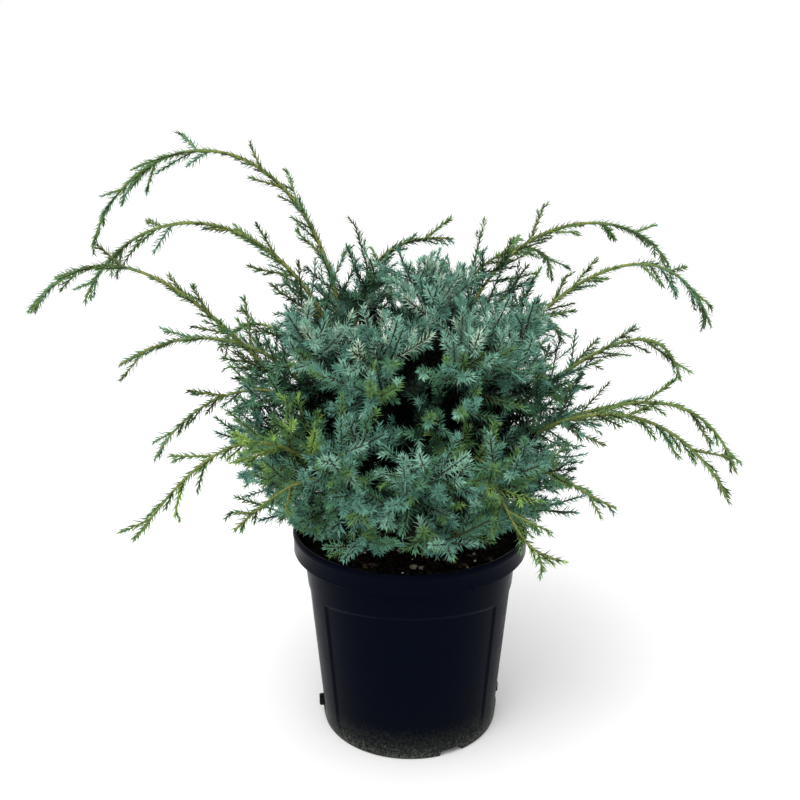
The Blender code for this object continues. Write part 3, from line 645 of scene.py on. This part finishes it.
def shade_of(strand, rng):
    """Colour of a spray, by how deep in the crown its tip lies; deeper sprays get darker colours as painted shade.
    """
    tip = strand.path[-1]
    depth = float(crown_share(tip[None])[0])
    shades = CROWN_SHADES if strand.mass.crown else SHOOT_SHADES
    pick = next(colours for limit, colours in shades if depth < limit)
    if pick is SKIN_SHADES and tip[2] > TOP_HEIGHT:
        pick = TOP_SHADES
    if strand.mass.name in YOUNG_SHOOTS and strand.level != STEM:
        pick = YOUNG_SHADES
    return NAMES.index(rng.choice(pick))


def ways_across(growth):
    """Two unit ways across each way of growth."""
    side = np.cross(growth, OFF_UP)
    side /= np.linalg.norm(side, axis=1)[:, None]
    return side, np.cross(growth, side)


def needle_rows(strand, rng):
    """Base, way, side, outer way, length, width and colour of each needle of a strand, in whorls of three."""
    total = length_of(strand.path)
    rule = CROWN_NEEDLE if strand.mass.crown or within(strand.path[-1]) else SHOOT_NEEDLE
    if strand.level == INNER:
        rule = INNER_NEEDLE
    begin = 0.0
    if strand.level == STEM:
        begin = total * BARE_STEM_SHARE if strand.mass.crown else strand.mass.bare
    if strand.level == TWIG and strand.mass.crown:
        begin = total * BARE_TWIG_SHARE
    pace = rule.pace * (STEM_PACE if strand.level == STEM else 1.0)
    along = np.arange(begin + FIRST_NEEDLE, total, pace)
    if len(along) < 2:
        return None
    centres = stations(strand.path, along)
    ahead = stations(strand.path, np.minimum(along + BESIDE, total))
    behind = stations(strand.path, np.maximum(along - BESIDE, 0.0))
    growth = ahead - behind
    growth /= np.linalg.norm(growth, axis=1)[:, None]
    side, over = ways_across(growth)
    count = len(along)
    shape = (count, WHORL)
    maker = np.random.default_rng(rng.getrandbits(32))
    turn = np.radians(WHORL_TURN * np.arange(count)[:, None] + NEEDLE_TURN * np.arange(WHORL)[None])
    turn = turn + maker.uniform(-NEEDLE_TURN_SPREAD, NEEDLE_TURN_SPREAD, shape)
    lean = np.radians(rule.lean + maker.uniform(-NEEDLE_LEAN_SPREAD, NEEDLE_LEAN_SPREAD, shape))
    near_tip = np.clip((total - along) / TIP_ZONE, 0.0, 1.0)[:, None]
    lean = lean * (TIP_LEAN[0] + TIP_LEAN[1] * near_tip)
    size = rule.length * (TIP_SIZE[0] + TIP_SIZE[1] * near_tip) * maker.uniform(*NEEDLE_LENGTH_SPREAD, shape)
    away = side[:, None] * np.cos(turn)[..., None] + over[:, None] * np.sin(turn)[..., None]
    way = growth[:, None] * np.cos(lean)[..., None] + away * np.sin(lean)[..., None]
    across = np.cross(growth[:, None], away)
    base = np.broadcast_to(centres[:, None], way.shape)
    tone = shade_of(strand, rng)
    # Needles near the crown's centre are coloured deep whatever their spray's colour: painted shade
    deep = crown_share(centres) < (INNER_PAINTED_SHADE_EDGE if strand.level == INNER else PAINTED_SHADE_EDGE)
    colour = np.repeat(np.where(deep, NAMES.index("deep"), tone), WHORL)
    width = rule.width * maker.uniform(*NEEDLE_WIDTH_SPREAD, shape)
    ways = [column.reshape(-1, 3) for column in (base, way, across, away)]
    return *ways, size.reshape(-1), width.reshape(-1), colour


def needle_mesh(name, rows):
    """One mesh of keeled, pointed needles from rows of equal length."""
    base, way, across, away, size, width, colour = (np.concatenate(column) for column in zip(*rows))
    count = len(base)
    middle = base + way * (size * NEEDLE_WIDEST)[:, None]
    half = across * (width / 2)[:, None]
    keel = middle + away * (-width * NEEDLE_KEEL)[:, None]
    bow = away * (size * NEEDLE_BOW)[:, None]
    points = np.stack((base, middle + half, keel, middle - half, base + way * size[:, None] + bow), axis=1)
    faces = np.array(((0, 1, 2), (0, 2, 3), (1, 4, 2), (2, 4, 3)))
    faces = (np.arange(count)[:, None, None] * NEEDLE_POINTS + faces[None]).reshape(-1, 3)
    return array_mesh(name, points.reshape(-1, 3), faces, np.repeat(colour, NEEDLE_TRIANGLES))


def array_mesh(name, points, faces, slots):
    """Mesh from arrays of points, faces of equal size and each face's material slot."""
    mesh = bpy.data.meshes.new(name)
    mesh.vertices.add(len(points))
    mesh.vertices.foreach_set("co", points.astype(np.float32).ravel())
    mesh.loops.add(faces.size)
    mesh.loops.foreach_set("vertex_index", faces.astype(np.int32).ravel())
    mesh.polygons.add(len(faces))
    mesh.polygons.foreach_set("loop_start", np.arange(0, faces.size, faces.shape[1], dtype=np.int32))
    mesh.polygons.foreach_set("material_index", slots.astype(np.int32))
    mesh.update(calc_edges=True)
    mesh.validate()
    return mesh


def ring_faces(rings, sides, start=0):
    """Quads between rings of points, each ring closed on itself."""
    low = start + np.arange(rings - 1)[:, None] * sides + np.arange(sides)[None]
    beside = start + np.arange(rings - 1)[:, None] * sides + (np.arange(sides)[None] + 1) % sides
    return np.stack((low, beside, beside + sides, low + sides), axis=2).reshape(-1, 4)


def tubes_mesh(name, strands, sides):
    """Tapering tubes along strands, joined in one mesh."""
    points = []
    faces = []
    slots = []
    start = 0
    for path, radii, slot in strands:
        rings = len(path)
        growth = np.gradient(path, axis=0)
        growth /= np.linalg.norm(growth, axis=1)[:, None]
        side, over = ways_across(growth)
        girth = np.linspace(radii[0], radii[1], rings)[:, None, None]
        turn = np.linspace(0.0, 2 * math.pi, sides, endpoint=False)[None, :, None]
        ring = path[:, None] + (side[:, None] * np.cos(turn) + over[:, None] * np.sin(turn)) * girth
        points.append(ring.reshape(-1, 3))
        faces.append(ring_faces(rings, sides, start))
        slots.append(np.full((rings - 1) * sides, slot))
        start += rings * sides
    return array_mesh(name, np.concatenate(points), np.concatenate(faces), np.concatenate(slots))


# Materials

def surface_of(name, colour, roughness, specular=0.12):
    """New material and its shader."""
    material = bpy.data.materials.new(name)
    material.use_nodes = True
    surface = material.node_tree.nodes["Principled BSDF"]
    surface.inputs["Specular IOR Level"].default_value = specular
    surface.inputs["Base Color"].default_value = (*colour, 1.0)
    surface.inputs["Roughness"].default_value = roughness
    return material, surface


def noise_node(tree, scale, detail, rough):
    """Noise by place on the object."""
    place = tree.nodes.new("ShaderNodeNewGeometry")
    node = tree.nodes.new("ShaderNodeTexNoise")
    node.inputs["Scale"].default_value = scale
    node.inputs["Detail"].default_value = detail
    node.inputs["Roughness"].default_value = rough
    tree.links.new(place.outputs["Position"], node.inputs["Vector"])
    return node


def ramp(tree, source, stops):
    """Colour ramp from a source, with stops of position and colour."""
    node = tree.nodes.new("ShaderNodeValToRGB")
    while len(node.color_ramp.elements) < len(stops):
        node.color_ramp.elements.new(0.5)
    for element, (place, colour) in zip(node.color_ramp.elements, stops):
        element.position = place
        element.color = (*colour, 1.0)
    tree.links.new(source, node.inputs["Fac"])
    return node


def bumped(tree, surface, source, strength, distance):
    node = tree.nodes.new("ShaderNodeBump")
    node.inputs["Strength"].default_value = strength
    node.inputs["Distance"].default_value = distance
    tree.links.new(source, node.inputs["Height"])
    tree.links.new(node.outputs["Normal"], surface.inputs["Normal"])


def needle_materials():
    # One material per colour; needle_deep and needle_dark carry painted shade
    return [surface_of("needle_" + name, colour, 0.52)[0] for name, colour in COLOURS.items()]


def bark_material(name, light, dark, scale):
    material, surface = surface_of(name, light, 0.82)
    tree = material.node_tree
    grain = noise_node(tree, scale, 6.0, 0.7)
    tone = ramp(tree, grain.outputs["Fac"], ((0.32, dark), (0.62, light)))
    tree.links.new(tone.outputs["Color"], surface.inputs["Base Color"])
    bumped(tree, surface, grain.outputs["Fac"], 0.5, 0.0006)
    return material


# From clean plastic to thick dust
POT_TONES = (
    (0.0, (0.0008, 0.0018, 0.0060)),
    (0.30, (0.0012, 0.0022, 0.0050)),
    (0.46, (0.016, 0.018, 0.016)),
    (0.64, (0.13, 0.135, 0.115)),
)
DUST_TOP = 0.075
DUST_FOOT = 0.002
SOIL_TONES = (
    (0.35, (0.002, 0.002, 0.001)),
    (0.62, (0.008, 0.006, 0.004)),
    (0.80, (0.030, 0.020, 0.012)),
)


def pot_material():
    """Dark blue plastic with a cloudy gloss, and dust towards its foot."""
    material, surface = surface_of("pot_plastic", (0.0006, 0.0012, 0.0034), 0.36, 0.30)
    surface.inputs["IOR"].default_value = 1.10
    tree = material.node_tree
    cloud = noise_node(tree, 38.0, 5.0, 0.65)
    shine = ramp(tree, cloud.outputs["Fac"], ((0.35, (0.20,) * 3), (0.70, (0.36,) * 3)))
    tree.links.new(shine.outputs["Color"], surface.inputs["Roughness"])
    place = tree.nodes.new("ShaderNodeNewGeometry")
    split = tree.nodes.new("ShaderNodeSeparateXYZ")
    tree.links.new(place.outputs["Position"], split.inputs["Vector"])
    low = tree.nodes.new("ShaderNodeMapRange")
    low.inputs["From Min"].default_value = DUST_TOP
    low.inputs["From Max"].default_value = DUST_FOOT
    tree.links.new(split.outputs["Z"], low.inputs["Value"])
    speck = noise_node(tree, 420.0, 8.0, 0.80)
    dust = tree.nodes.new("ShaderNodeMath")
    dust.operation = "MULTIPLY"
    tree.links.new(low.outputs["Result"], dust.inputs[0])
    tree.links.new(speck.outputs["Fac"], dust.inputs[1])
    tone = ramp(tree, dust.outputs["Value"], POT_TONES)
    tree.links.new(tone.outputs["Color"], surface.inputs["Base Color"])
    grain = noise_node(tree, 900.0, 3.0, 0.5)
    bumped(tree, surface, grain.outputs["Fac"], 0.12, 0.0002)
    return material


def soil_material():
    material, surface = surface_of("compost_bark", (0.02, 0.014, 0.01), 0.95, 0.03)
    tree = material.node_tree
    clump = noise_node(tree, 240.0, 8.0, 0.75)
    tone = ramp(tree, clump.outputs["Fac"], SOIL_TONES)
    tree.links.new(tone.outputs["Color"], surface.inputs["Base Color"])
    bumped(tree, surface, clump.outputs["Fac"], 1.0, 0.002)
    return material


# Pot and compost

def placed(name, data, material=None):
    """New object in the scene, with its material."""
    thing = bpy.data.objects.new(name, data)
    bpy.context.scene.collection.objects.link(thing)
    if material:
        data.materials.clear()
        data.materials.append(material)
    return thing


def wall_radius(height):
    """Outer radius of the pot's wall, before its panels are recessed."""
    share = height / (POT_HEIGHT - RIM_DEPTH)
    return WALL_FOOT_RADIUS + (WALL_TOP_RADIUS - WALL_FOOT_RADIUS) * share


def panel_depth(turn, height):
    """How far the wall is recessed at a turn and height."""
    nearest = min(abs((turn - rib + 180) % 360 - 180) for rib in RIB_TURNS)
    edge = RIB_WIDTH_TURN / 2
    half = 180 / len(RIB_TURNS) - edge
    beside = min(max((nearest - edge) / PANEL_SIDE_SLOPE, 0.0), 1.0)
    aside = 1 - min(max((nearest - edge) / half, 0.0), 1.0)
    top = PANEL_TOP - PANEL_TOP_DROP * aside**2
    above = min(max((top - height) / PANEL_END_SLOPE, 0.0), 1.0)
    below = min(max((height - PANEL_FOOT) / PANEL_END_SLOPE, 0.0), 1.0)
    share = min(beside, above, below)
    return PANEL_DEPTH * share * share * (3 - 2 * share)


def notch_share(turn):
    """How far a turn lies within a notch of the bottom edge, from zero to one."""
    half = NOTCH_WIDTH / 2 / WALL_FOOT_RADIUS
    return max(
        min(max((half - abs(math.radians((turn - notch + 180) % 360 - 180))) / NOTCH_SLOPE, 0.0), 1.0)
        for notch in NOTCH_TURNS
    )


def pot_profile():
    """Radius and height from inside over the rim and down to the pad, and where the wall begins and ends."""
    skirt = POT_HEIGHT - RIM_DEPTH
    inside = [
        (wall_radius(0.15) - WALL, 0.15),
        (WALL_TOP_RADIUS - WALL, skirt),
        (RIM_INNER_RADIUS - 0.0012, POT_HEIGHT - 0.0090),
    ]
    bead = [
        (RIM_INNER_RADIUS, POT_HEIGHT - 0.0050),
        (RIM_INNER_RADIUS, POT_HEIGHT - 0.0022),
        (RIM_INNER_RADIUS + 0.0009, POT_HEIGHT - 0.0004),
        (RIM_INNER_RADIUS + 0.0022, POT_HEIGHT),
        (RIM_RADIUS - 0.0016, POT_HEIGHT - 0.0004),
        (RIM_RADIUS - 0.0004, POT_HEIGHT - 0.0018),
        (RIM_RADIUS, POT_HEIGHT - 0.0040),
        (RIM_RADIUS - 0.0004, POT_HEIGHT - 0.0062),
        (RIM_SKIRT_RADIUS, POT_HEIGHT - 0.0078),
        (RIM_SKIRT_RADIUS, skirt + 0.0006),
        (RIM_SKIRT_RADIUS - 0.0006, skirt),
        (RIM_SKIRT_RADIUS - 0.0022, skirt),
        (WALL_TOP_RADIUS + 0.0038, POT_HEIGHT - 0.0080),
        (WALL_TOP_RADIUS, skirt - 0.0005),
    ]
    wall = [(wall_radius(height), height) for height in np.linspace(skirt - 0.003, 0.0025, WALL_RINGS)]
    foot = [
        (WALL_FOOT_RADIUS - 0.0004, 0.0006),
        (WALL_FOOT_RADIUS - 0.0015, 0.0),
        (FOOT_RING_RADIUS, 0.0),
        (FOOT_RING_RADIUS - 0.001, FLOOR_UNDERSIDE),
        (PAD_RADIUS, FLOOR_UNDERSIDE),
        (PAD_RADIUS, 0.0),
        (0.0005, 0.0),
    ]
    first = len(inside) + len(bead)
    return np.array(inside + bead + wall + foot), first, first + len(wall)


def add_lug(shape, turn):
    """Small bevelled block on the wall."""
    place = Matrix.Rotation(math.radians(turn), 4, "Z")
    place = place @ Matrix.Translation((wall_radius(LUG_HEIGHT), 0.0, LUG_HEIGHT))
    lug = bmesh.ops.create_cube(shape, size=1.0)
    bmesh.ops.transform(shape, matrix=place @ Matrix.Diagonal((*LUG_SIZE, 1.0)), verts=lug["verts"])
    edges = {edge for vert in lug["verts"] for edge in vert.link_edges}
    bmesh.ops.bevel(shape, geom=list(edges), offset=LUG_BEVEL, segments=2, affect="EDGES")


def pot_mesh():
    """The pot turned from its profile, with recessed panels, notches in its bottom edge and lugs."""
    profile, first, last = pot_profile()
    radii, heights = profile.T
    count = len(profile)
    points = np.zeros((POT_STEPS, count, 3))
    for step in range(POT_STEPS):
        turn = 360.0 * step / POT_STEPS
        away = radii.copy()
        for index in range(first, last):
            away[index] -= panel_depth(turn, heights[index])
        points[step, :, 0] = away * math.cos(math.radians(turn))
        points[step, :, 1] = away * math.sin(math.radians(turn))
        points[step, :, 2] = heights
        lift = notch_share(turn)
        if lift > 0:
            near = (heights < NOTCH_HEIGHT * lift) & (radii > FOOT_RING_RADIUS - 0.0001)
            points[step, near, 2] = NOTCH_HEIGHT * lift
    low = np.arange(POT_STEPS)[:, None] * count + np.arange(count - 1)[None]
    beside = ((np.arange(POT_STEPS) + 1) % POT_STEPS)[:, None] * count + np.arange(count - 1)[None]
    faces = np.stack((low, beside, beside + 1, low + 1), axis=2).reshape(-1, 4)
    mesh = array_mesh("pot_body", points.reshape(-1, 3), faces, np.zeros(len(faces)))
    shape = bmesh.new()
    shape.from_mesh(mesh)
    bmesh.ops.remove_doubles(shape, verts=shape.verts, dist=MERGE_DISTANCE)
    for turn in LUG_TURNS:
        add_lug(shape, turn)
    bmesh.ops.recalc_face_normals(shape, faces=shape.faces)
    shape.to_mesh(mesh)
    shape.free()
    mesh.shade_smooth()
    mesh.set_sharp_from_angle(angle=math.radians(SHARP_ANGLE))
    return mesh


def soil_mesh():
    """Rough top of the compost, with its side running down inside the pot."""
    radius = wall_radius(SOIL_TOP) - WALL - 2 * GAP
    points = []
    for ring in range(SOIL_RINGS + 1):
        out = radius * ring / SOIL_RINGS
        for step in range(SOIL_STEPS):
            turn = 2 * math.pi * step / SOIL_STEPS
            x = out * math.cos(turn)
            y = out * math.sin(turn)
            lumps = SOIL_LUMPS[1] * noise.fractal(Vector((x, y, 0.3)) * SOIL_LUMPS[0], 0.9, 2.1, 4)
            grains = SOIL_GRAINS[1] * noise.noise(Vector((x, y, 1.7)) * SOIL_GRAINS[0])
            points.append((x, y, SOIL_TOP + lumps + grains - SOIL_EDGE_DROP * (ring / SOIL_RINGS) ** 8))
    foot = radius * SOIL_SIDE_TAPER
    for step in range(SOIL_STEPS):
        turn = 2 * math.pi * step / SOIL_STEPS
        points.append((foot * math.cos(turn), foot * math.sin(turn), SOIL_TOP - SOIL_SIDE_DROP))
    faces = ring_faces(SOIL_RINGS + 2, SOIL_STEPS)[:, [0, 3, 2, 1]]
    mesh = array_mesh("compost_top", np.array(points), faces, np.zeros(len(faces)))
    mesh.shade_smooth()
    return mesh


def crumbs(materials):
    """Bark chips, stones, white grit and peat lying on the compost."""
    rng = random.Random(CRUMB_SEED)
    shape = bmesh.new()
    for count, size, slot in BITS:
        for _ in range(count):
            out = SCATTER_RADIUS * math.sqrt(rng.uniform(0.03, 0.93))
            turn = rng.uniform(0, 2 * math.pi)
            scale = [side * rng.uniform(0.6, 1.5) for side in size]
            made = bmesh.ops.create_icosphere(shape, subdivisions=2 if slot in (CHIP, STONE) else 1, radius=1.0)
            for vert in made["verts"]:
                own = Vector((out * 900, turn * 9, slot))
                vert.co *= 1 + CRUMB_ROUGHNESS * noise.noise(vert.co * 1.7 + own)
            place = Matrix.Translation((out * math.cos(turn), out * math.sin(turn), SOIL_TOP + scale[2] * 0.5))
            spin = Matrix.Rotation(rng.uniform(0, 6.28), 4, "Z") @ Matrix.Rotation(rng.uniform(-0.4, 0.4), 4, "X")
            bmesh.ops.transform(shape, matrix=place @ spin @ Matrix.Diagonal((*scale, 1.0)), verts=made["verts"])
            for face in {face for vert in made["verts"] for face in vert.link_faces}:
                face.material_index = slot
                face.smooth = True
    mesh = bpy.data.meshes.new("compost_crumbs")
    shape.to_mesh(mesh)
    shape.free()
    for material in materials:
        mesh.materials.append(material)
    return mesh


# Assembly

def region_of(name):
    """Mass name without its number, such as shoot_left or crown_low."""
    return "_".join(name.split("_")[:2])


def dressed(members, rng):
    """Needle rows and tubes of the strands in one region."""
    rows = []
    tubes = []
    for mass, strands in members:
        for strand in strands:
            row = needle_rows(strand, rng)
            if row:
                rows.append(row)
            if strand.level < SPUR:
                slot = BARK if mass.crown or strand.level == SPRIG else GREEN_WOOD
                tubes.append((strand.path, strand.radii, slot))
    return rows, tubes


def batches(rows):
    """Rows in order, in batches that each make a piece of fewer than PIECE_TRIANGLES."""
    made = [[]]
    held = 0
    for row in rows:
        size = len(row[0]) * NEEDLE_TRIANGLES
        if held + size > PIECE_TRIANGLES:
            made.append([])
            held = 0
        made[-1].append(row)
        held += size
    return made


def trunk_mesh():
    """Trunk with ridges of bark."""
    rings = []
    for height in np.linspace(SOIL_TOP - 0.001, TRUNK_TOP, TRUNK_RINGS):
        level = max(height, SOIL_TOP)
        for side in range(TRUNK_SIDES):
            turn = side * 360 // TRUNK_SIDES
            angle = math.radians(turn)
            place = (math.cos(angle) * BARK_GRAIN[0], math.sin(angle) * BARK_GRAIN[0], height * BARK_GRAIN[1])
            radius = trunk_radius(level) * (1 + BARK_RIDGE * noise.noise(Vector(place)))
            rings.append(trunk_centre(level) + outward(turn) * radius)
    faces = ring_faces(TRUNK_RINGS, TRUNK_SIDES)
    return array_mesh("trunk_bark", np.array(rings), faces, np.zeros(len(faces)))


def foliage():
    """Twigs and needles of every mass, joined by region, on boughs and trunk of bark."""
    boughs, masses = plan()
    leaf = needle_materials()
    bark = bark_material("young_bark", (0.060, 0.050, 0.028), (0.022, 0.018, 0.011), 420.0)
    green_wood = bark_material("green_stem", (0.230, 0.260, 0.075), (0.130, 0.150, 0.045), 300.0)
    rng = random.Random(NEEDLE_SEED)
    regions = {}
    for mass in masses:
        strands = grown(mass, Room(mass, masses, boughs))
        regions.setdefault(region_of(mass.name), []).append((mass, strands))
    for region, members in regions.items():
        rows, tubes = dressed(members, rng)
        nodes = [mass.name for mass, _ in members]
        twigs = placed(region + "_twigs", tubes_mesh(region + "_twigs", tubes, TWIG_SIDES))
        twigs.data.materials.append(bark)
        twigs.data.materials.append(green_wood)
        twigs.data.shade_smooth()
        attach(twigs, "root")
        for number, batch in enumerate(batches(rows)):
            name = f"{region}_needles" + (f"_{number + 1}" if number else "")
            piece = placed(name, needle_mesh(name, batch))
            for material in leaf:
                piece.data.materials.append(material)
            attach(piece, "root")
            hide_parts(*nodes)
    paths = [cut(bough.path, 0.0, length_of(bough.path), LIMB_STEP) for bough in boughs]
    limbs = tubes_mesh("boughs", [(path, BOUGH_RADIUS, BARK) for path in paths], BOUGH_SIDES)
    piece = placed("boughs", limbs, bark)
    limbs.shade_smooth()
    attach(piece, "root")
    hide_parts(*[bough.name for bough in boughs])
    stem = placed("trunk_bark", trunk_mesh(), bark)
    stem.data.shade_smooth()
    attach(stem, "root")
    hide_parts("trunk")


def container():
    body = placed("pot_body", pot_mesh(), pot_material())
    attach(body, "root")
    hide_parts("pot")
    top = placed("compost_top", soil_mesh(), soil_material())
    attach(top, "root")
    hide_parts("compost")
    chip = bark_material("chip_bark", (0.11, 0.065, 0.036), (0.025, 0.015, 0.009), 500.0)
    stone = bark_material("grit_stone", (0.34, 0.30, 0.24), (0.17, 0.15, 0.12), 300.0)
    grit = surface_of("white_grit", (0.62, 0.60, 0.55), 0.8)[0]
    peat = bark_material("peat_crumb", (0.014, 0.010, 0.007), (0.003, 0.0025, 0.002), 400.0)
    bits = placed("compost_crumbs", crumbs((chip, stone, grit, peat)))
    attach(bits, "root")


def studio():
    """White floor and sky, one lamp, a soft sun and the photo's camera."""
    scene = bpy.context.scene
    floor = bpy.data.meshes.new("floor")
    shape = bmesh.new()
    bmesh.ops.create_circle(shape, cap_ends=True, segments=64, radius=FLOOR_RADIUS)
    shape.to_mesh(floor)
    shape.free()
    ground = placed("floor", floor, surface_of("floor_white", (FLOOR_WHITE,) * 3, 0.9)[0])
    world = bpy.data.worlds.new("studio")
    world.use_nodes = True
    world.node_tree.nodes["Background"].inputs["Color"].default_value = (1.0, 1.0, 1.0, 1.0)
    world.node_tree.nodes["Background"].inputs["Strength"].default_value = 1.0
    scene.world = world
    scene.view_settings.view_transform = "Standard"
    lamp = bpy.data.lights.new("key", "AREA")
    lamp.energy = KEY_POWER
    lamp.size = KEY_SIZE
    key = placed("key", lamp)
    key.location = KEY_PLACE
    key.rotation_euler = (Vector(KEY_AIM) - Vector(KEY_PLACE)).to_track_quat("-Z", "Y").to_euler()
    sky = bpy.data.lights.new("overhead", "SUN")
    sky.energy = SUN_POWER
    sky.angle = math.radians(SUN_ANGLE)
    placed("overhead", sky).rotation_euler = (math.radians(SUN_TILT[0]), math.radians(SUN_TILT[1]), 0.0)
    lens = bpy.data.cameras.new("photo_camera")
    lens.lens = CAMERA_LENS
    lens.sensor_width = CAMERA_SENSOR
    camera = placed("photo_camera", lens)
    camera.location = CAMERA_PLACE
    camera.rotation_euler = (math.pi / 2 - CAMERA_PITCH, 0.0, 0.0)
    scene.camera = camera


container()
foliage()
studio()
